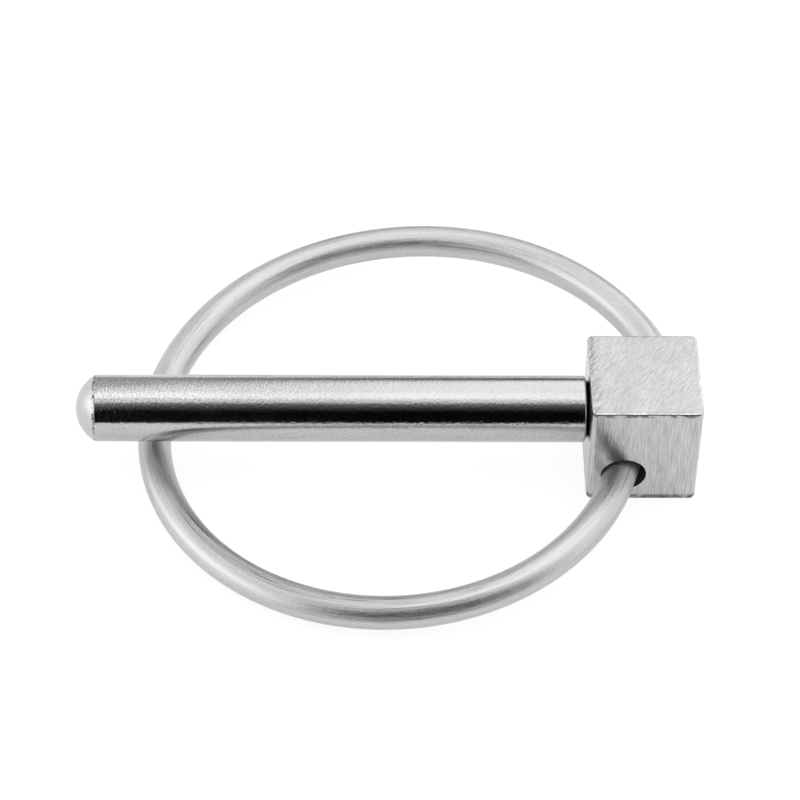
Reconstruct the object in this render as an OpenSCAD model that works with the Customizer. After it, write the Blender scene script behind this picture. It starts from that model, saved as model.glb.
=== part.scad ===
// Lynch pin with a square head and a swinging ring
// The origin is on the shaft's axis where the shaft meets the head.
// The tip points along -X, the front is -Y and the top of the head is +Z. Sizes are in millimetres.

/* [Shaft] */
// Diameter of the round shaft
shaft_d = 5.5; // [4.8:0.1:6.2]
// Length from the head's face to the tip
shaft_len = 42; // [38:0.5:60]
// Height of the domed nose
nose_len = 1.65; // [1:0.05:2.4]
// Length of the bevel where the shaft meets the head
shoulder_len = 0.3; // [0.1:0.05:0.5]
// How far the bevel reaches in from the shaft's outside
shoulder_depth = 0.5; // [0.2:0.05:0.6]
// Diameter of the spigot that is pressed into the head
spigot_d = 3; // [2.4:0.1:3.2]
// Length of the spigot
spigot_len = 5; // [4:0.1:6]

/* [Head] */
// Side of the square bar that the head is cut from
head_side = 9; // [8.6:0.1:11]
// Height of the head
head_h = 10.15; // [9.8:0.05:13]
// Height of the head's top above the shaft's axis
head_above = 4.05; // [3.6:0.05:4.4]
// Radius of the bar's four rolled edges
bar_edge_r = 0.5; // [0.3:0.05:1]
// Bevel left around the sawn top
top_break = 0.12; // [0.05:0.01:0.25]
// Bevel left around the sawn underside
bottom_break = 0.25; // [0.05:0.01:0.28]
// Space left past the end of the spigot in its bore
bore_spare = 0.4; // [0:0.1:0.8]

/* [Cross hole] */
// Depth of the cross hole's middle below the shaft's axis
hole_drop = 2.8; // [2.6:0.05:3.2]
// Angle of the cross hole, seen from above, from square to the head
hole_turn = 19.5; // [10:0.5:22]
// Rise of the cross hole from the front mouth to the back mouth
hole_rise = 0.6; // [0:0.1:1]
// Clearance around the wire in the cross hole
hole_play = 0.4; // [0.3:0.05:0.5]

/* [Ring] */
// Diameter of the ring's wire
wire_d = 2.7; // [2.2:0.1:3]
// Distance from the shaft's tip to the middle of the wire that crosses under it
ring_from_tip = 6.25; // [4:0.25:9]
// Gap between the shaft and the closed ring
ring_gap = 0.6; // [0.56:0.02:1]
// Angle of the crossing, seen from above, from square to the shaft
crossing_turn = 4.2; // [0:0.1:6]
// Angle at which the crossing rises to the back
crossing_rise = 0.8; // [0:0.1:2]
// Distance from the head's front mouth to the corner of the front bend
front_elbow = 1.5; // [1:0.05:2.5]
// Distance from that corner to each end of the front bend
front_leg = 0.6; // [0.4:0.05:0.9]
// Distance from the head's back mouth to the corner of the back bend
back_elbow = 3.05; // [2.6:0.05:4]
// Distance from that corner to each end of the back bend
back_leg = 1.95; // [1.6:0.05:2.2]
// Length of wire inside the head at each end
stub_len = 3.4; // [2.4:0.1:4]
// Bevel around the cut ends of the wire
wire_break = 0.2; // [0.1:0.05:0.4]

/* [Hidden] */
$fn = 96;

shaft_r = shaft_d / 2;
spigot_r = spigot_d / 2;
wire_r = wire_d / 2;
hole_r = wire_r + hole_play;
head_top = head_above;
head_bottom = head_above - head_h;
nose_r = (shaft_r * shaft_r + nose_len * nose_len) / (2 * nose_len);
spigot_break = 0.3;
past_head = 2;

// The wire is a hair thicker at the crossing and in the two bends, and the pieces between them end inside these.
swell = 0.02;
lap = 0.2;
crossing_half = 0.3;

// The cross hole runs from the middle of the front mouth to the middle of the back mouth.
hole_middle = [head_side / 2, 0, -hole_drop];
hole_span = [head_side * tan(hole_turn), head_side, hole_rise];
hole_dir = hole_span / norm(hole_span);

// The wire sits to the left in the hole and a little low, clear of its wall.
wire_offset = [-0.75 * hole_play, 0, -0.25 * hole_play];
front_mouth = hole_middle + wire_offset - hole_span / 2;
back_mouth = hole_middle + wire_offset + hole_span / 2;

// The ring crosses under the shaft near the tip, and runs to the back from there along crossing_dir.
crossing = [ring_from_tip - shaft_len, 0, -(shaft_r + ring_gap + wire_r)];
crossing_dir = [
    -sin(crossing_turn) * cos(crossing_rise),
    cos(crossing_turn) * cos(crossing_rise),
    sin(crossing_rise)
];

function unit(v) = v / norm(v);

// The direction square to along, in the plane that along and toward span
function square_to(along, toward) = unit(toward - (toward * along) * along);

// A frame whose X runs from centre to the arc's start, and whose Y is the way the arc leaves
function arc_frame(centre, inward, along) =
    let (x = -inward, y = along, z = cross(-inward, along))
    [
        [x[0], y[0], z[0], centre[0]],
        [x[1], y[1], z[1], centre[1]],
        [x[2], y[2], z[2], centre[2]],
        [0, 0, 0, 1]
    ];

// The angle, in degrees, that a length takes on an arc
function turn_of(length, radius) = length / radius * 180 / PI;

// Wire bent round the frame's Z, from one angle to another
module wire_arc(radius, from, to, r) {
    rotate([0, 0, from])
        rotate_extrude(angle = to - from)
            translate([radius, 0]) circle(r = r);
}

// Wire from start, straight along dir, with a bevelled end
module wire_stub(start, dir, len) {
    side = square_to(dir, [0, 0, 1]);
    multmatrix(arc_frame(start, -side, cross(dir, side))) {
        cylinder(r = wire_r, h = len - wire_break);
        translate([0, 0, len - wire_break])
            cylinder(r1 = wire_r, r2 = wire_r - wire_break, h = wire_break);
    }
}

// Half of the ring: an arc from the crossing, a bend at the elbow, and the straight end in the head.
// The arc is flat. Its end runs straight at the elbow, one leg away.
module half_ring(start_dir, mouth, into_head, elbow_out, leg) {
    elbow = mouth - into_head * elbow_out;
    reach = elbow - crossing;
    inward = square_to(start_dir, reach);
    sideways = reach * start_dir;
    across = reach * inward;
    arc_r = (sideways * sideways + across * across - leg * leg) / (2 * across);
    end_angle = atan2(across - arc_r, sideways) - atan2(leg, arc_r);
    arc_middle = crossing + arc_r * inward;
    arc_end = arc_middle + arc_r * (cos(end_angle) * start_dir + sin(end_angle) * inward);
    end_dir = cos(end_angle) * inward - sin(end_angle) * start_dir;
    bend = acos(end_dir * into_head);
    bend_r = leg / tan(bend / 2);
    bend_inward = square_to(end_dir, into_head);

    arc_from = turn_of(crossing_half - lap, arc_r);
    arc_to = end_angle + 90 + turn_of(lap, arc_r);

    multmatrix(arc_frame(arc_middle, inward, start_dir))
        wire_arc(arc_r, arc_from, arc_to, wire_r);
    multmatrix(arc_frame(arc_end + bend_r * bend_inward, bend_inward, end_dir))
        wire_arc(bend_r, 0, bend, wire_r + swell);
    wire_stub(elbow + (leg - lap) * into_head, into_head, elbow_out - leg + lap + stub_len);
}

// The short straight piece where the two halves meet under the shaft
module ring_crossing() {
    side = square_to(crossing_dir, [0, 0, 1]);
    multmatrix(arc_frame(crossing - crossing_half * crossing_dir, -side, cross(crossing_dir, side)))
        cylinder(r = wire_r + swell, h = 2 * crossing_half);
}

module cross_hole() {
    half = norm(hole_span) / 2 + past_head;
    side = square_to(hole_dir, [0, 0, 1]);
    multmatrix(arc_frame(hole_middle - half * hole_dir, -side, cross(hole_dir, side)))
        cylinder(r = hole_r, h = 2 * half);
}

// Outline of the head seen along a side, with the sawn ends bevelled
module head_outline() {
    half = head_side / 2;
    polygon([
        [-half, head_bottom + bottom_break],
        [-half + bottom_break, head_bottom],
        [half - bottom_break, head_bottom],
        [half, head_bottom + bottom_break],
        [half, head_top - top_break],
        [half - top_break, head_top],
        [-half + top_break, head_top],
        [-half, head_top - top_break]
    ]);
}

// One rolled edge of the bar, with the same bevels at its ends
module head_edge() {
    translate([0, 0, head_bottom])
        cylinder(r1 = bar_edge_r - bottom_break, r2 = bar_edge_r, h = bottom_break);
    translate([0, 0, head_bottom + bottom_break])
        cylinder(r = bar_edge_r, h = head_h - bottom_break - top_break);
    translate([0, 0, head_top - top_break])
        cylinder(r1 = bar_edge_r, r2 = bar_edge_r - top_break, h = top_break);
}

module head_block() {
    flat = head_side - 2 * bar_edge_r;
    for (turn = [0, 90])
        rotate([90, 0, turn])
            translate([0, 0, -flat / 2]) linear_extrude(flat) head_outline();
    for (x = [-flat / 2, flat / 2], y = [-flat / 2, flat / 2])
        translate([x, y, 0]) head_edge();
}

module head() {
    color([0.72, 0.72, 0.72])
    difference() {
        translate([head_side / 2, 0, 0]) head_block();
        cross_hole();
        rotate([0, 90, 0]) cylinder(r = spigot_r, h = spigot_len + bore_spare);
    }
}

// The round body. A sphere, as wide as the body at the dome's rim, shapes its nose.
module shaft_body() {
    body_from = (nose_len + nose_r) / 2;
    body_to = shaft_len - shoulder_len;
    translate([-shaft_len, 0, 0]) rotate([0, 90, 0]) {
        intersection() {
            cylinder(r = shaft_r, h = nose_r);
            translate([0, 0, nose_r]) sphere(r = nose_r);
        }
        translate([0, 0, body_from]) cylinder(r = shaft_r, h = body_to - body_from);
        translate([0, 0, body_to])
            cylinder(r1 = shaft_r, r2 = shaft_r - shoulder_depth, h = shoulder_len);
    }
}

module spigot() {
    rotate([0, 90, 0]) {
        cylinder(r = spigot_r, h = spigot_len - spigot_break);
        translate([0, 0, spigot_len - spigot_break])
            cylinder(r1 = spigot_r, r2 = spigot_r - spigot_break, h = spigot_break);
    }
}

// The cross hole is drilled with the spigot in place, so it notches the spigot and locks it.
module shaft() {
    color([0.78, 0.78, 0.79])
    union() {
        shaft_body();
        difference() {
            spigot();
            cross_hole();
        }
    }
}

module ring() {
    color([0.66, 0.66, 0.67])
    union() {
        ring_crossing();
        half_ring(-crossing_dir, front_mouth, hole_dir, front_elbow, front_leg);
        half_ring(crossing_dir, back_mouth, -hole_dir, back_elbow, back_leg);
    }
}

shaft();
head();
ring();
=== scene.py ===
import math

import bmesh
import bpy
from mathutils import Matrix, Vector, noise


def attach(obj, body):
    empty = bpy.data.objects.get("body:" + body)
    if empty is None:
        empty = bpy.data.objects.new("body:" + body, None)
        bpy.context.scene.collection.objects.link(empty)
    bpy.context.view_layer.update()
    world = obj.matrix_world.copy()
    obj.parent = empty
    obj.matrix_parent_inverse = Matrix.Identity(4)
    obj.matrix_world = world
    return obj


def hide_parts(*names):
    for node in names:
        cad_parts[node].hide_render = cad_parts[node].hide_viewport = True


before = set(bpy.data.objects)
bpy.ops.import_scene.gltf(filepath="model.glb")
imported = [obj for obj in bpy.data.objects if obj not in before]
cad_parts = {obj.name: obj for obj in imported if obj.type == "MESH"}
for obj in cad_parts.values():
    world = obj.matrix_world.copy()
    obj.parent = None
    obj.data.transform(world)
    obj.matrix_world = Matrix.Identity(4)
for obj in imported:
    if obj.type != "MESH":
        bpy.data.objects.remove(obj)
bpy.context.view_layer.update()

# Sizes of the pin, in metres. The origin is on the shaft's axis at the head's left face.
MM = 0.001
SHAFT_R = 2.75 * MM
SHAFT_LEN = 42 * MM
NOSE_LEN = 1.65 * MM
SHOULDER_LEN = 0.3 * MM
SHOULDER_DEPTH = 0.5 * MM
RIM_BREAK = 0.07 * MM
SPIGOT_R = 1.5 * MM
SPIGOT_LEN = 5 * MM
SPIGOT_BREAK = 0.3 * MM
BORE_DEPTH = 5.4 * MM
HEAD_SIDE = 9 * MM
HEAD_TOP = 4.05 * MM
HEAD_BOTTOM = -6.1 * MM
BAR_EDGE_R = 0.5 * MM
TOP_BREAK = 0.12 * MM
BOTTOM_BREAK = 0.25 * MM
HOLE_R = 1.75 * MM
WIRE_R = 1.35 * MM
WIRE_BREAK = 0.2 * MM
STUB_LEN = 3.4 * MM

# The burr that the saw left round the ends of the head
BURR_WIDTH = 0.13 * MM
BURR_OUT = 0.05 * MM
BURR_LIFT = 0.06 * MM

# The cross hole, and the mouths where the wire leaves it
HOLE_TURN = math.radians(19.5)
HOLE_MIDDLE = Vector((4.5, 0, -2.8)) * MM
HOLE_SPAN = Vector((9 * math.tan(HOLE_TURN), 9, 0.6)) * MM
HOLE_DIR = HOLE_SPAN.normalized()
WIRE_OFFSET = Vector((-0.3, 0, -0.1)) * MM
FRONT_MOUTH = HOLE_MIDDLE + WIRE_OFFSET - HOLE_SPAN / 2
BACK_MOUTH = HOLE_MIDDLE + WIRE_OFFSET + HOLE_SPAN / 2

# The wire's crossing under the shaft, and its bends
CROSSING = Vector((-35.75, 0, -4.7)) * MM
CROSSING_TURN = math.radians(4.2)
CROSSING_RISE = math.radians(0.8)
CROSSING_DIR = Vector((
    -math.sin(CROSSING_TURN) * math.cos(CROSSING_RISE),
    math.cos(CROSSING_TURN) * math.cos(CROSSING_RISE),
    math.sin(CROSSING_RISE),
))
FRONT_ELBOW, FRONT_LEG = 1.5 * MM, 0.6 * MM
BACK_ELBOW, BACK_LEG = 3.05 * MM, 1.95 * MM

# Flat faces round each round form, or along it
DOME_STEPS = 20
SHAFT_SIDES = 180
NOTCH_SIDES = 96
HOLE_SIDES = 128
BORE_SIDES = 64
SAWN_EDGE_CUTS = 70
WIRE_SIDES = 48
ARC_STEPS = 110
BEND_STEPS = 10
STUB_STEPS = 8

# How far outside the head the drills start
PAST_HEAD = 2 * MM
PAST_BORE = 1 * MM

# Points this close count as lying in one plane, and as touching
LEVEL = 1e-6
TOUCHING = 1e-7

# The places of these axes in a point
X, Z = 0, 2

FLOOR_Z = HEAD_BOTTOM


def lies_at(part, axis, value):
    """Whether every point of an edge or a face has this value on an axis"""
    return all(abs(vert.co[axis] - value) < LEVEL for vert in part.verts)


def bevel(bm, edges, size, segments):
    """Rounds edges off by size"""
    bmesh.ops.bevel(bm, geom=edges, offset=size, affect="EDGES", segments=segments, profile=0.5,
                    material=-1)


def finish_mesh(name, bm, sharp_deg=35):
    """An object at the origin from a bmesh, smooth except where its faces meet sharply"""
    bmesh.ops.recalc_face_normals(bm, faces=bm.faces)
    mesh = bpy.data.meshes.new(name)
    bm.to_mesh(mesh)
    bm.free()
    mesh.shade_smooth()
    mesh.set_sharp_from_angle(angle=math.radians(sharp_deg))
    obj = bpy.data.objects.new(name, mesh)
    bpy.context.scene.collection.objects.link(obj)
    return obj


def cut(obj, cutters):
    """Cuts other solids out of obj, and removes them.

    Flat faces keep their own normals up to their rounded edges.
    """
    for cutter in cutters:
        bore = obj.modifiers.new("bore", "BOOLEAN")
        bore.operation = "DIFFERENCE"
        bore.solver = "EXACT"
        bore.object = cutter
    flats = obj.modifiers.new("flats", "WEIGHTED_NORMAL")
    flats.weight = 100
    flats.keep_sharp = True
    bpy.context.view_layer.update()
    graph = bpy.context.evaluated_depsgraph_get()
    drilled = bpy.data.meshes.new_from_object(obj.evaluated_get(graph))
    obj.modifiers.clear()
    obj.data = drilled
    for cutter in cutters:
        bpy.data.objects.remove(cutter)


def finish_bore(obj, start, direction, radius, slot_index):
    """Gives the faces of a round bore their own material slot"""
    for face in obj.data.polygons:
        offset = face.center - start
        across = offset - offset.dot(direction) * direction
        on_wall = abs(across.length - radius) < 0.03 * radius
        along_wall = abs(face.normal.dot(direction)) < 0.05
        looks_in = across.dot(face.normal) < 0
        if on_wall and along_wall and looks_in:
            face.material_index = slot_index


def drill(name, radius, start, direction, length, sides):
    """A closed cylinder from start along direction"""
    bm = bmesh.new()
    bmesh.ops.create_cone(bm, cap_ends=True, segments=sides, radius1=radius, radius2=radius,
                          depth=length)
    turn = direction.to_track_quat("Z", "Y").to_matrix().to_4x4()
    place = Matrix.Translation(start + direction * length / 2) @ turn
    bmesh.ops.transform(bm, matrix=place, verts=bm.verts)
    return finish_mesh(name, bm)


def cross_drill(name, sides):
    """A cylinder along the cross hole, right through the head"""
    half = HOLE_SPAN.length / 2 + PAST_HEAD
    return drill(name, HOLE_R, HOLE_MIDDLE - half * HOLE_DIR, HOLE_DIR, 2 * half, sides)


# Shaft

def make_shaft():
    """The turned shaft: a profile spun round the axis, from the domed nose to the hidden spigot"""
    nose_r = (SHAFT_R ** 2 + NOSE_LEN ** 2) / (2 * NOSE_LEN)
    dome_sweep = math.asin(SHAFT_R / nose_r)
    tip = -SHAFT_LEN
    bm = bmesh.new()
    pole = bm.verts.new((tip, 0, 0))
    bmesh.ops.spin(bm, geom=[pole], cent=(tip + nose_r, 0, 0), axis=(0, 1, 0), angle=dome_sweep,
                   steps=DOME_STEPS, use_merge=False, use_duplicate=False)
    last = max(bm.verts, key=lambda vert: vert.co.x)
    corners = [
        (-SHOULDER_LEN, SHAFT_R),
        (0, SHAFT_R - SHOULDER_DEPTH),
        (0, SPIGOT_R),
        (SPIGOT_LEN - SPIGOT_BREAK, SPIGOT_R),
        (SPIGOT_LEN, SPIGOT_R - SPIGOT_BREAK),
        (SPIGOT_LEN, 0),
    ]
    for x, z in corners:
        corner = bm.verts.new((x, 0, z))
        bm.edges.new((last, corner))
        last = corner
    bmesh.ops.spin(bm, geom=bm.verts[:] + bm.edges[:], cent=(0, 0, 0), axis=(1, 0, 0),
                   angle=2 * math.pi, steps=SHAFT_SIDES, use_merge=True, use_duplicate=False)
    bmesh.ops.remove_doubles(bm, verts=bm.verts, dist=TOUCHING)
    rims = [edge for edge in bm.edges
            if lies_at(edge, X, tip + NOSE_LEN) or lies_at(edge, X, -SHOULDER_LEN)]
    bevel(bm, rims, RIM_BREAK, segments=4)
    shaft = finish_mesh("shaft_turned", bm)
    cut(shaft, [cross_drill("notch", NOTCH_SIDES)])
    shaft.data.materials.append(turned_steel())
    return shaft


# Head

def saw_burr(bm, end_z, lift):
    """Turns up the rim of a sawn end by about lift, and leaves the edge slightly ragged"""
    end = [face for face in bm.faces if lies_at(face, Z, end_z)]
    rim = {vert for face in end for vert in face.verts}
    bmesh.ops.inset_region(bm, faces=end, thickness=BURR_WIDTH, depth=0, use_even_offset=True)
    for vert in rim:
        coarse = noise.noise(vert.co * 1800)
        fine = noise.noise(vert.co * 5200)
        ragged = 0.5 + 0.5 * coarse + 0.35 * fine
        outward = Vector((vert.co.x - HEAD_SIDE / 2, vert.co.y, 0)).normalized()
        vert.co += outward * BURR_OUT * ragged
        vert.co.z += lift * (0.3 + 1.2 * ragged)


def make_head():
    """The head: a length of square bar with rolled edges, sawn ends, a cross hole and a blind bore"""
    height = HEAD_TOP - HEAD_BOTTOM
    bm = bmesh.new()
    bmesh.ops.create_cube(bm, size=1)
    bmesh.ops.scale(bm, vec=(HEAD_SIDE, HEAD_SIDE, height), verts=bm.verts)
    bmesh.ops.translate(bm, vec=(HEAD_SIDE / 2, 0, (HEAD_TOP + HEAD_BOTTOM) / 2), verts=bm.verts)
    upright = [edge for edge in bm.edges
               if abs(edge.verts[0].co.z - edge.verts[1].co.z) > height / 2]
    bevel(bm, upright, BAR_EDGE_R, segments=8)
    for z in (HEAD_TOP, HEAD_BOTTOM):
        long_edges = [edge for edge in bm.edges
                      if edge.calc_length() > BAR_EDGE_R and lies_at(edge, Z, z)]
        bmesh.ops.subdivide_edges(bm, edges=long_edges, cuts=SAWN_EDGE_CUTS)
    for z, size in ((HEAD_TOP, TOP_BREAK), (HEAD_BOTTOM, BOTTOM_BREAK)):
        rim = [edge for edge in bm.edges if lies_at(edge, Z, z)]
        bevel(bm, rim, size, segments=3)
    saw_burr(bm, HEAD_TOP, BURR_LIFT)
    saw_burr(bm, HEAD_BOTTOM, 0)
    head = finish_mesh("head_block", bm, sharp_deg=40)
    cross = cross_drill("cross", HOLE_SIDES)
    bore_dir = Vector((1, 0, 0))
    bore = drill("bore", SPIGOT_R, -PAST_BORE * bore_dir, bore_dir, BORE_DEPTH + PAST_BORE, BORE_SIDES)
    cut(head, [cross, bore])
    head.data.materials.append(sawn_bar())
    # The walls of both bores get the painted shade
    head.data.materials.append(bore_wall_painted_shade())
    finish_bore(head, HOLE_MIDDLE, HOLE_DIR, HOLE_R, slot_index=1)
    finish_bore(head, Vector((0, 0, 0)), bore_dir, SPIGOT_R, slot_index=1)
    return head


# Ring

def square_to(along, toward):
    """The direction square to along, in the plane that along and toward span"""
    return (toward - toward.dot(along) * along).normalized()


def bent_run(centre, axis, radius, angle, steps):
    """Wire bent round an axis, as (move of one step, length of one step, number of steps)"""
    to_centre = Matrix.Translation(centre)
    move = to_centre @ Matrix.Rotation(angle / steps, 4, axis) @ to_centre.inverted()
    return move, radius * angle / steps, steps


def straight_run(direction, length, steps):
    """Straight wire, as (move of one step, length of one step, number of steps)"""
    return Matrix.Translation(direction * length / steps), length / steps, steps


def half_ring(start_dir, mouth, into_head, elbow_out, leg):
    """One half of the ring as a list of runs, from the crossing to the wire's end in the head"""
    elbow = mouth - into_head * elbow_out
    reach = elbow - CROSSING
    inward = square_to(start_dir, reach)
    sideways = reach.dot(start_dir)
    across = reach.dot(inward)
    arc_r = (sideways ** 2 + across ** 2 - leg ** 2) / (2 * across)
    end_angle = math.atan2(across - arc_r, sideways) - math.atan2(leg, arc_r)
    arc_middle = CROSSING + arc_r * inward
    arc_end = arc_middle + arc_r * (math.cos(end_angle) * start_dir + math.sin(end_angle) * inward)
    end_dir = math.cos(end_angle) * inward - math.sin(end_angle) * start_dir
    bend = math.acos(end_dir.dot(into_head))
    bend_r = leg / math.tan(bend / 2)
    bend_in = square_to(end_dir, into_head)
    bend_middle = arc_end + bend_r * bend_in
    stub = elbow_out - leg + STUB_LEN - WIRE_BREAK
    return [
        bent_run(arc_middle, (-inward).cross(start_dir), arc_r, end_angle + math.pi / 2, ARC_STEPS),
        bent_run(bend_middle, (-bend_in).cross(end_dir), bend_r, bend, BEND_STEPS),
        straight_run(into_head, stub, STUB_STEPS),
        straight_run(into_head, WIRE_BREAK, 1),
    ]


def grow(bm, rim, move, length, along):
    """Extrudes the wire's open rim by one step, and counts the length that it has run"""
    made = bmesh.ops.extrude_edge_only(bm, edges=rim)["geom"]
    verts = {part for part in made if isinstance(part, bmesh.types.BMVert)}
    edges = [part for part in made if isinstance(part, bmesh.types.BMEdge)]
    bmesh.ops.transform(bm, matrix=move, verts=list(verts))
    for vert in verts:
        vert[along] += length
    return [edge for edge in edges if verts.issuperset(edge.verts)]


def close_end(bm, rim):
    """Draws the wire's open rim in by its bevel, and closes it with a flat face"""
    verts = list({vert for edge in rim for vert in edge.verts})
    middle = sum((vert.co for vert in verts), Vector()) / len(verts)
    smaller = Matrix.Scale(1 - WIRE_BREAK / WIRE_R, 4)
    shrink = Matrix.Translation(middle) @ smaller @ Matrix.Translation(-middle)
    bmesh.ops.transform(bm, matrix=shrink, verts=verts)
    bmesh.ops.contextual_create(bm, geom=rim)


def make_ring():
    """The wire ring, grown from its crossing both ways.

    Its points keep the length from the crossing and the place round the wire as attributes.
    """
    bm = bmesh.new()
    along = bm.verts.layers.float.new("along")
    round_x = bm.verts.layers.float.new("round_x")
    round_y = bm.verts.layers.float.new("round_y")
    bmesh.ops.create_circle(bm, segments=WIRE_SIDES, radius=WIRE_R)
    for vert in bm.verts:
        vert[round_x] = vert.co.x / WIRE_R
        vert[round_y] = vert.co.y / WIRE_R
    up = square_to(CROSSING_DIR, Vector((0, 0, 1)))
    side = up.cross(CROSSING_DIR)
    turn = Matrix((side, up, CROSSING_DIR)).transposed().to_4x4()
    bmesh.ops.transform(bm, matrix=Matrix.Translation(CROSSING) @ turn, verts=bm.verts)
    start = bm.edges[:]
    halves = (
        (half_ring(-CROSSING_DIR, FRONT_MOUTH, HOLE_DIR, FRONT_ELBOW, FRONT_LEG), -1),
        (half_ring(CROSSING_DIR, BACK_MOUTH, -HOLE_DIR, BACK_ELBOW, BACK_LEG), 1),
    )
    for runs, way in halves:
        rim = start
        for move, length, steps in runs:
            for _ in range(steps):
                rim = grow(bm, rim, move, way * length, along)
        close_end(bm, rim)
    ring = finish_mesh("ring_wire", bm)
    ring.data.materials.append(drawn_wire())
    return ring


# Materials

# A noise's scales count the marks in one unit of X, Y and Z. Where a scale is small, marks are long.
# Nearly all values of a noise lie in the wide span. Marks made from the narrow span are crisper.
WIDE = (0.3, 0.7)
NARROW = (0.34, 0.66)
BLACK = (0, 0, 0)
WHITE = (1, 1, 1)


class Finish:
    """A node material that is written from coordinates to shader"""

    def __init__(self, name, metallic=1.0):
        self.material = bpy.data.materials.new(name)
        self.material.use_nodes = True
        self.tree = self.material.node_tree
        self.shader = self.tree.nodes["Principled BSDF"]
        self.put("Metallic", metallic)

    def node(self, kind, **settings):
        """A new node with these settings"""
        made = self.tree.nodes.new(kind)
        for key, value in settings.items():
            setattr(made, key, value)
        return made

    def feed(self, socket, value):
        """Links an output into a socket, or sets a plain value on it"""
        if isinstance(value, bpy.types.NodeSocket):
            self.tree.links.new(value, socket)
        else:
            socket.default_value = value

    def put(self, name, value):
        """Feeds one of the shader's own inputs"""
        self.feed(self.shader.inputs[name], value)

    def object_place(self):
        """The place on the object, in metres"""
        return self.node("ShaderNodeTexCoord").outputs["Object"]

    def split(self, vector):
        """The X, Y and Z of a vector, by name"""
        apart = self.node("ShaderNodeSeparateXYZ")
        self.feed(apart.inputs["Vector"], vector)
        return apart.outputs

    def mapped(self, place, setting, value):
        """The place after one mapping, which is a Location, a Rotation or a Scale"""
        made = self.node("ShaderNodeMapping", vector_type="POINT")
        made.inputs[setting].default_value = value
        self.feed(made.inputs["Vector"], place)
        return made.outputs["Vector"]

    def stretched(self, place, turn=(0, 0, 0), scale=(1, 1, 1)):
        """The place, turned and then stretched"""
        return self.mapped(self.mapped(place, "Rotation", turn), "Scale", scale)

    def noise(self, place, scale=1.0, detail=2.0, distortion=0.0):
        """Smooth random values round 0.5, which change faster with a larger scale"""
        made = self.node("ShaderNodeTexNoise")
        self.feed(made.inputs["Vector"], place)
        made.inputs["Scale"].default_value = scale
        made.inputs["Detail"].default_value = detail
        made.inputs["Distortion"].default_value = distortion
        return made.outputs["Fac"]

    def math(self, operation, first, second=0.0):
        """One step of arithmetic, by Blender's name for it"""
        made = self.node("ShaderNodeMath", operation=operation)
        self.feed(made.inputs[0], first)
        self.feed(made.inputs[1], second)
        return made.outputs[0]

    def add(self, first, second):
        return self.math("ADD", first, second)

    def subtract(self, first, second):
        return self.math("SUBTRACT", first, second)

    def multiply(self, first, second):
        return self.math("MULTIPLY", first, second)

    def maximum(self, first, second):
        return self.math("MAXIMUM", first, second)

    def absolute(self, value):
        return self.math("ABSOLUTE", value)

    def ramp(self, value, span, to=(0.0, 1.0)):
        """The value, moved from one span to another and kept inside it"""
        made = self.node("ShaderNodeMapRange", clamp=True)
        names = ("Value", "From Min", "From Max", "To Min", "To Max")
        for name, given in zip(names, (value, *span, *to)):
            self.feed(made.inputs[name], given)
        return made.outputs["Result"]

    # A Mix node keeps its inputs for numbers and for colours at different places.

    def blend(self, amount, first, second):
        """The first value where amount is 0, the second where it is 1"""
        made = self.node("ShaderNodeMix", data_type="FLOAT")
        self.feed(made.inputs[0], amount)
        self.feed(made.inputs[2], first)
        self.feed(made.inputs[3], second)
        return made.outputs[0]

    def colour(self, amount, dark=BLACK, light=WHITE):
        """The colour that lies between two by amount"""
        made = self.node("ShaderNodeMix", data_type="RGBA")
        self.feed(made.inputs[0], amount)
        made.inputs[6].default_value = (*dark, 1)
        made.inputs[7].default_value = (*light, 1)
        return made.outputs[2]

    def bump(self, height, depth, under=None):
        """A normal from marks of this depth, laid over another normal"""
        made = self.node("ShaderNodeBump")
        made.inputs["Distance"].default_value = depth
        self.feed(made.inputs["Height"], height)
        if under is not None:
            self.feed(made.inputs["Normal"], under)
        return made.outputs["Normal"]


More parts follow.
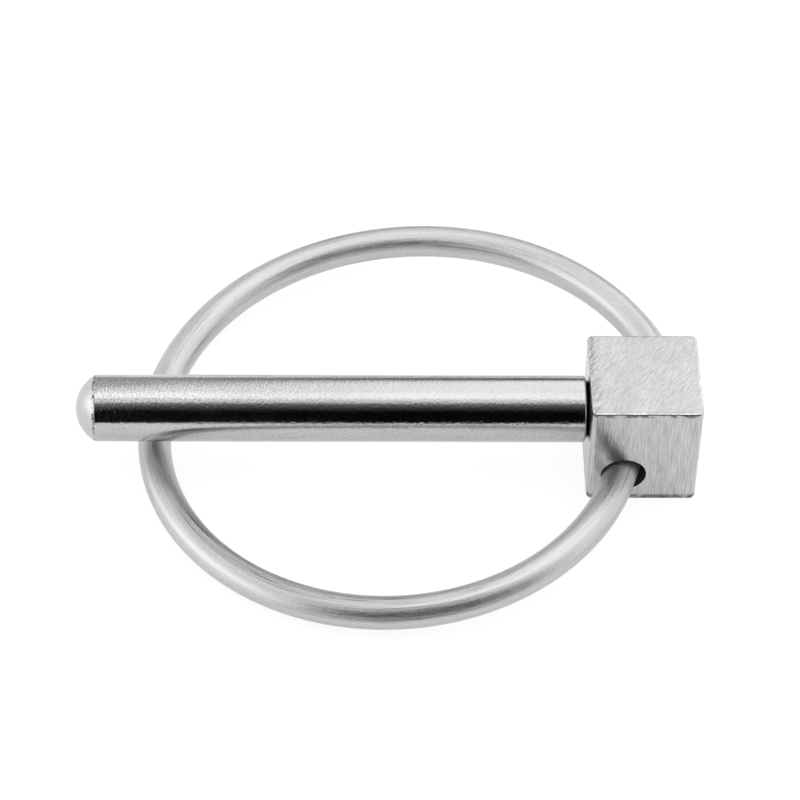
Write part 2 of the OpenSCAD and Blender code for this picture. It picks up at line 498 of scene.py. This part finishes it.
def turned_steel():
    """Polished, with fine tool marks, a fine grain and a little wear.

    The domed nose is duller, with a broken burr round its rim.
    """
    steel = Finish("turned_steel")
    place = steel.object_place()
    at = steel.split(place)
    rim_x = NOSE_LEN - SHAFT_LEN
    on_nose = steel.ramp(at["X"], (rim_x + 0.02 * MM, rim_x - 0.05 * MM))

    # The burr is darkest on the shaft's upper side.
    from_burr = steel.absolute(steel.subtract(at["X"], rim_x - 0.06 * MM))
    burr_breaks = steel.ramp(steel.noise(place, scale=2300), (0.42, 0.56))
    burr = steel.multiply(steel.ramp(from_burr, (0.13 * MM, 0.06 * MM)), burr_breaks)
    burr_level = steel.ramp(at["Z"], (-0.2 * MM, 0.8 * MM), (0.34, 0.08))

    # Tool marks, grain, wear and a few long scratches
    rings = steel.noise(steel.stretched(place, scale=(5200, 120, 120)), detail=3)
    grain_turn = (0, 0, math.radians(24))
    grain = steel.noise(steel.stretched(place, grain_turn, (6500, 4600, 4600)), detail=3)
    grain_depth = steel.ramp(at["X"], (-40 * MM, -26 * MM), (0.5, 1.0))
    wear = steel.noise(steel.stretched(place, scale=(160, 420, 420)), detail=3)
    scratch_turn = (0, 0, math.radians(-8))
    scratch = steel.noise(steel.stretched(place, scratch_turn, (900, 9000, 9000)), detail=1)

    # The speckle is fainter on the upper side, but strong along its top toward the tip.
    speck = steel.noise(place, scale=8000)
    speck_depth = steel.ramp(at["Z"], (1.0 * MM, 2.0 * MM), (0.08, 0.03))
    near_tip = steel.ramp(at["X"], (-40 * MM, -20 * MM), (0.13, 0.0))
    near_top = steel.ramp(at["Z"], (2.0 * MM, 2.3 * MM))
    speck_depth = steel.add(speck_depth, steel.multiply(near_tip, near_top))

    level = steel.multiply(steel.ramp(speck, WIDE, (-1.0, 1.0)), speck_depth)
    level = steel.add(steel.add(level, 0.47), steel.ramp(wear, WIDE, (-0.01, 0.04)))
    level = steel.blend(on_nose, level, steel.ramp(speck, WIDE, (0.50, 0.60)))
    level = steel.blend(burr, level, burr_level)
    steel.put("Base Color", steel.colour(level))
    worn = steel.ramp(wear, (0.45, 0.75), (0.0, 0.05))
    rough = steel.add(steel.ramp(rings, WIDE, (0.06, 0.12)), worn)
    steel.put("Roughness", steel.blend(on_nose, rough, 0.38))
    normal = steel.bump(rings, 0.0008 * MM)
    normal = steel.bump(steel.multiply(grain, grain_depth), 0.018 * MM, under=normal)
    normal = steel.bump(steel.ramp(scratch, (0.68, 0.8)), 0.0008 * MM, under=normal)
    steel.put("Normal", normal)
    return steel.material


def sawn_bar():
    """Cold-drawn bar with fine lines down its sides.

    Saw and file marks slant across its cut ends, and its edges are worn.
    """
    bar = Finish("sawn_bar")
    coords = bar.node("ShaderNodeTexCoord").outputs
    place = coords["Object"]
    upward = bar.absolute(bar.split(coords["Normal"])["Z"])
    on_end = bar.ramp(upward, (0.6, 0.85))
    on_side = bar.subtract(1.0, on_end)
    off_flat = bar.ramp(upward, (0.97, 0.90))

    # Lines down the sides
    down = (0, 0, math.radians(45))
    drawn = bar.noise(bar.stretched(place, down, (22000, 10000, 520)))
    broad = bar.noise(bar.stretched(place, down, (1500, 800, 140)))
    side_level = bar.add(bar.ramp(drawn, NARROW, (0.39, 0.60)), bar.ramp(broad, WIDE, (-0.03, 0.03)))

    # Marks across the cut ends
    slant = (0, 0, math.radians(-56))
    sawn = bar.noise(bar.stretched(place, slant, (1600, 12000, 1600)), detail=3, distortion=0.3)
    deep = bar.noise(bar.stretched(place, slant, (1200, 8000, 1200)))
    patches = bar.noise(place, scale=420)
    end_level = bar.add(bar.ramp(sawn, NARROW, (0.415, 0.575)), bar.ramp(patches, WIDE, (-0.02, 0.03)))
    nicks = bar.ramp(deep, (0.56, 0.70), (0.0, 0.08))
    end_level = bar.subtract(end_level, nicks)

    # Along the edges: a painted highlight on the rim round the ends, broken dark lines on the sides
    # just under the top, and painted shade in broken lines above the underside, where the floor's
    # shadow is reflected
    half_side = HEAD_SIDE / 2
    at = bar.split(bar.mapped(place, "Location", (-half_side, 0, 0)))
    off_middle = bar.maximum(bar.absolute(at["X"]), bar.absolute(at["Y"]))
    breaks = bar.noise(place, scale=1500, detail=4)
    rim = bar.ramp(off_middle, (half_side - 0.20 * MM, half_side - 0.10 * MM))
    # Painted highlight: a bright grey rim round the ends
    rim_highlight = bar.multiply(bar.multiply(rim, on_end), bar.ramp(breaks, (0.42, 0.62)))
    near_top = bar.ramp(at["Z"], (HEAD_TOP - 0.44 * MM, HEAD_TOP - 0.24 * MM))
    near_floor = bar.ramp(at["Z"], (HEAD_BOTTOM + 0.74 * MM, HEAD_BOTTOM + 0.46 * MM))
    under_top = bar.multiply(near_top, on_side)
    # Painted shade: darker just above the floor, on the sides and the bottom bevel but not the flat
    # underside
    over_floor = bar.multiply(near_floor, off_flat)
    dark_lines_and_floor_shade = bar.maximum(
        bar.multiply(under_top, bar.ramp(breaks, (0.42, 0.56))),
        bar.multiply(over_floor, bar.ramp(breaks, (0.36, 0.56), (0.25, 1.0))),
    )

    # Darker saw marks along the left edge of the ends
    near_left = bar.ramp(at["X"], (1.0 * MM - half_side, 0.2 * MM - half_side))
    left_ticks = bar.multiply(near_left, bar.ramp(sawn, (0.52, 0.42), (0.0, 0.4)))
    end_level = bar.multiply(end_level, bar.subtract(1.0, left_ticks))

    grain = bar.noise(place, scale=7000)
    level = bar.blend(on_end, side_level, end_level)
    level = bar.add(level, bar.ramp(grain, WIDE, (-0.03, 0.03)))
    # Darkens the broken lines under the top and the painted shade near the floor
    level = bar.multiply(level, bar.subtract(1.0, bar.multiply(dark_lines_and_floor_shade, 0.72)))
    # Paints the highlight on the rim round the ends
    level = bar.blend(rim_highlight, level, 0.82)
    bar.put("Base Color", bar.colour(level))
    side_rough = bar.ramp(drawn, WIDE, (0.13, 0.22))
    end_rough = bar.ramp(sawn, WIDE, (0.34, 0.46))
    bar.put("Roughness", bar.blend(on_end, side_rough, end_rough))
    normal = bar.bump(bar.blend(on_end, drawn, sawn), 0.012 * MM)
    normal = bar.bump(bar.blend(on_end, broad, deep), 0.016 * MM, under=normal)
    bar.put("Normal", normal)
    return bar.material


def drawn_wire():
    """Satin drawn wire: soft and dark lines along its length, with a fine grain"""
    wire = Finish("drawn_wire", metallic=0.93)
    along, round_x, round_y = (
        wire.node("ShaderNodeAttribute", attribute_name=name).outputs["Fac"]
        for name in ("along", "round_x", "round_y")
    )
    straightened = wire.node("ShaderNodeCombineXYZ")
    wire.feed(straightened.inputs["X"], along)
    wire.feed(straightened.inputs["Y"], round_x)
    wire.feed(straightened.inputs["Z"], round_y)
    place = straightened.outputs["Vector"]

    # The ring's inner side is darker, with more dark streaks, from just past the crossing to the
    # middle of the front arc.
    past_crossing = wire.ramp(along, (-4 * MM, -10 * MM))
    to_front = wire.ramp(along, (-38 * MM, -26 * MM))
    inner = wire.ramp(round_x, (0.45, 0.05))
    dark_inner_side = wire.multiply(wire.multiply(past_crossing, to_front), inner)

    # Lines along the wire, with dark streaks in patches and on that darker inner side
    fine = wire.noise(wire.stretched(place, scale=(260, 18, 18)), detail=3)
    broad = wire.noise(wire.stretched(place, scale=(60, 4, 4)))
    patches = wire.noise(wire.stretched(place, scale=(70, 1.1, 1.1)), detail=1)
    patches = wire.ramp(patches, (0.46, 0.62))
    streaks = wire.ramp(wire.noise(wire.stretched(place, scale=(120, 17, 17))), (0.54, 0.66))
    streaks = wire.multiply(streaks, wire.maximum(wire.multiply(patches, 0.9), dark_inner_side))
    grain = wire.noise(wire.object_place(), scale=7000)

    level = wire.add(wire.ramp(fine, WIDE, (0.48, 0.56)), wire.ramp(broad, WIDE, (-0.03, 0.05)))
    level = wire.add(level, wire.ramp(grain, WIDE, (-0.05, 0.05)))
    level = wire.subtract(level, wire.multiply(streaks, 0.28))
    level = wire.subtract(level, wire.multiply(dark_inner_side, wire.ramp(fine, (0.35, 0.65), (0.18, 0.02))))
    wire.put("Base Color", wire.colour(level))
    rough = wire.add(wire.ramp(fine, WIDE, (0.28, 0.36)), wire.ramp(grain, (0.44, 0.60), (0.0, 0.12)))
    wire.put("Roughness", rough)
    normal = wire.bump(fine, 0.016 * MM)
    normal = wire.bump(broad, 0.03 * MM, under=normal)
    normal = wire.bump(grain, 0.018 * MM, under=normal)
    wire.put("Normal", normal)
    return wire.material


def bore_wall_painted_shade():
    """The unpolished wall of a drilled hole, with the drill's rings, its colour painted nearly black
    as the shade inside the hole
    """
    wall = Finish("bore_wall_painted_shade", metallic=0.6)
    rings = wall.noise(wall.stretched(wall.object_place(), scale=(300, 5000, 300)))
    # Painted shade: the wall is coloured nearly black, as the inside of the hole is in shade
    dark, light = (0.03, 0.03, 0.031), (0.075, 0.074, 0.073)
    wall.put("Base Color", wall.colour(wall.ramp(rings, (0.35, 0.65)), dark, light))
    wall.put("Roughness", wall.ramp(rings, WIDE, (0.5, 0.7)))
    wall.put("Normal", wall.bump(rings, 0.01 * MM))
    return wall.material


def paper(name, albedo, glow):
    """Bright paper that is lit from below as well.

    The more it glows, the fainter the shadows on it are.
    """
    sheet_finish = Finish(name, metallic=0.0)
    sheet_finish.put("Base Color", (albedo, albedo, albedo, 1))
    sheet_finish.put("Roughness", 0.9)
    sheet_finish.put("Specular IOR Level", 0.0)
    sheet_finish.put("Emission Color", (*WHITE, 1))
    sheet_finish.put("Emission Strength", glow)
    return sheet_finish.material


def card_grey(name, levels, axis, span):
    """Gives off a grey that runs evenly between two levels along an axis"""
    card = Finish(name, metallic=0.0)
    card.put("Base Color", (*BLACK, 1))
    card.put("Roughness", 1.0)
    card.put("Specular IOR Level", 0.0)
    card.put("Emission Strength", 1.0)
    run = card.ramp(card.split(card.object_place())[axis], span)
    first, last = levels
    card.put("Emission Color", card.colour(run, (first, first, first), (last, last, last)))
    return card.material


# Pieces

def dress(obj, body, node):
    """Hands a piece over: the body it rides on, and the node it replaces"""
    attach(obj, body)
    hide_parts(node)


dress(make_shaft(), "pin", "shaft")
dress(make_head(), "pin", "head")
dress(make_ring(), "ring", "ring")

# Studio, in metres

STUDIO_HALF = 0.6
CEILING_Z = 0.40
BACK_Y = 0.95


def sheet(name, corners, material):
    """A flat piece of the studio from its corners"""
    bm = bmesh.new()
    bm.faces.new([bm.verts.new(corner) for corner in corners])
    mesh = bpy.data.meshes.new(name)
    bm.to_mesh(mesh)
    bm.free()
    mesh.materials.append(material)
    obj = bpy.data.objects.new(name, mesh)
    bpy.context.scene.collection.objects.link(obj)
    return obj


def level_corners(x_span, y_span, z):
    """The corners of a level rectangle"""
    left, right = x_span
    front, back = y_span
    return [(left, front, z), (right, front, z), (right, back, z), (left, back, z)]


def only_in_reflections(obj):
    """Hides a piece of the studio, except in the steel's reflections"""
    obj.visible_camera = False
    obj.visible_diffuse = False
    obj.visible_shadow = False
    obj.visible_transmission = False


def floor_sheet(name, z, material):
    """A wide level sheet under the pin"""
    span = (-STUDIO_HALF, STUDIO_HALF)
    return sheet(name, level_corners(span, span, z), material)


def reflection_card(name, corners, levels, axis="X", span=(0, 1)):
    """A card that only shows in the steel, as a studio's dark and grey flags do.

    Its grey runs from the first level to the last along an axis. An even card has one level twice.
    """
    only_in_reflections(sheet(name, corners, card_grey(name + "_grey", levels, axis, span)))


# The camera sees almost no shadow on the floor. The steel reflects the same floor with a deeper one.
seen_floor = floor_sheet("floor", FLOOR_Z, paper("floor_paper", 0.15, 0.88))
seen_floor.visible_glossy = False
steel_floor = floor_sheet("floor_in_steel", FLOOR_Z + 0.02 * MM, paper("floor_in_steel", 0.40, 0.55))
only_in_reflections(steel_floor)

# The dark side of the studio, in front of the pin
reflection_card("front_dark", [
    (-0.052, -0.060, FLOOR_Z + 0.3 * MM),
    (0.040, -0.060, FLOOR_Z + 0.3 * MM),
    (0.130, -0.095, 0.030),
    (0.100, -0.0921, 0.205),
    (-0.066, -0.0921, 0.205),
], (0.004, 0.36), "Z", (0.05, 0.205))
# The grey side, behind the pin and above its tip
reflection_card("back_low", [
    (-STUDIO_HALF, BACK_Y, FLOOR_Z),
    (STUDIO_HALF, BACK_Y, FLOOR_Z),
    (STUDIO_HALF, BACK_Y, 0.55),
    (-STUDIO_HALF, BACK_Y, 0.55),
], (0.64, 0.20), "X", (-0.13, 0.0))
reflection_card(
    "back_high", level_corners((-0.115, STUDIO_HALF), (0.08, 0.96), CEILING_Z),
    (0.60, 0.82), "X", (-0.10, 0.05),
)
# The lighter ceiling, straight above the pin
reflection_card(
    "ceiling", level_corners((-0.26, STUDIO_HALF), (-0.09, 0.08), CEILING_Z), (0.95, 0.95),
)
# The bright side, past the tip
reflection_card("left_bright", [
    (-0.36, -0.30, 0.02),
    (-0.36, 0.10, 0.02),
    (-0.36, 0.10, 0.26),
    (-0.36, -0.30, 0.26),
], (2.0, 2.0))

# Lights

WORLD_LEVEL = 1.12
PANEL_LEVEL = 0.80
PANEL_MIDDLE = (0.240, 0.345, 0.30)
PANEL_TURN = (math.radians(-6.3), 0, math.radians(-8.6))
PANEL_SIZE_X = 0.56
PANEL_SIZE_Y = 0.90

world = bpy.data.worlds.new("studio")
bpy.context.scene.world = world
world.use_nodes = True
background = world.node_tree.nodes["Background"]
background.inputs["Color"].default_value = (*WHITE, 1)
background.inputs["Strength"].default_value = WORLD_LEVEL


def soft_panel(name, middle, turn, size_x, size_y, level):
    """A rectangular softbox whose surface has the brightness level"""
    data = bpy.data.lights.new(name, "AREA")
    data.shape = "RECTANGLE"
    data.size = size_x
    data.size_y = size_y
    data.energy = level * math.pi * size_x * size_y
    obj = bpy.data.objects.new(name, data)
    obj.location = middle
    obj.rotation_euler = turn
    bpy.context.scene.collection.objects.link(obj)


soft_panel("top_panel", PANEL_MIDDLE, PANEL_TURN, PANEL_SIZE_X, PANEL_SIZE_Y, PANEL_LEVEL)

bpy.context.scene.view_settings.view_transform = "Standard"

# Camera, fitted to the photograph

PICTURE_PX = 800
FOCAL_PX = 3149
CAMERA_EL = math.radians(46.45)
CAMERA_YAW = math.radians(-1.276)
CAMERA_ROLL = math.radians(1.036)
ORIGIN_PX = (587.286, 408.884)
ORIGIN_DEPTH = 0.258989


def make_camera():
    """A camera that sees the frame's origin at ORIGIN_PX in the picture"""
    level_right = Vector((math.cos(CAMERA_YAW), math.sin(CAMERA_YAW), 0))
    back = Vector((
        math.sin(CAMERA_YAW) * math.cos(CAMERA_EL),
        -math.cos(CAMERA_YAW) * math.cos(CAMERA_EL),
        math.sin(CAMERA_EL),
    ))
    level_up = back.cross(level_right)
    right = math.cos(CAMERA_ROLL) * level_right + math.sin(CAMERA_ROLL) * level_up
    up = math.cos(CAMERA_ROLL) * level_up - math.sin(CAMERA_ROLL) * level_right
    turn = Matrix((right, up, back)).transposed()
    origin_seen = Vector((
        (ORIGIN_PX[0] - PICTURE_PX / 2) / FOCAL_PX * ORIGIN_DEPTH,
        -(ORIGIN_PX[1] - PICTURE_PX / 2) / FOCAL_PX * ORIGIN_DEPTH,
        -ORIGIN_DEPTH,
    ))
    data = bpy.data.cameras.new("camera")
    data.sensor_width = 36
    data.lens = FOCAL_PX / PICTURE_PX * data.sensor_width
    data.clip_start = 0.01
    data.clip_end = 10
    camera = bpy.data.objects.new("camera", data)
    camera.matrix_world = Matrix.Translation(-(turn @ origin_seen)) @ turn.to_4x4()
    bpy.context.scene.collection.objects.link(camera)
    bpy.context.scene.camera = camera


make_camera()
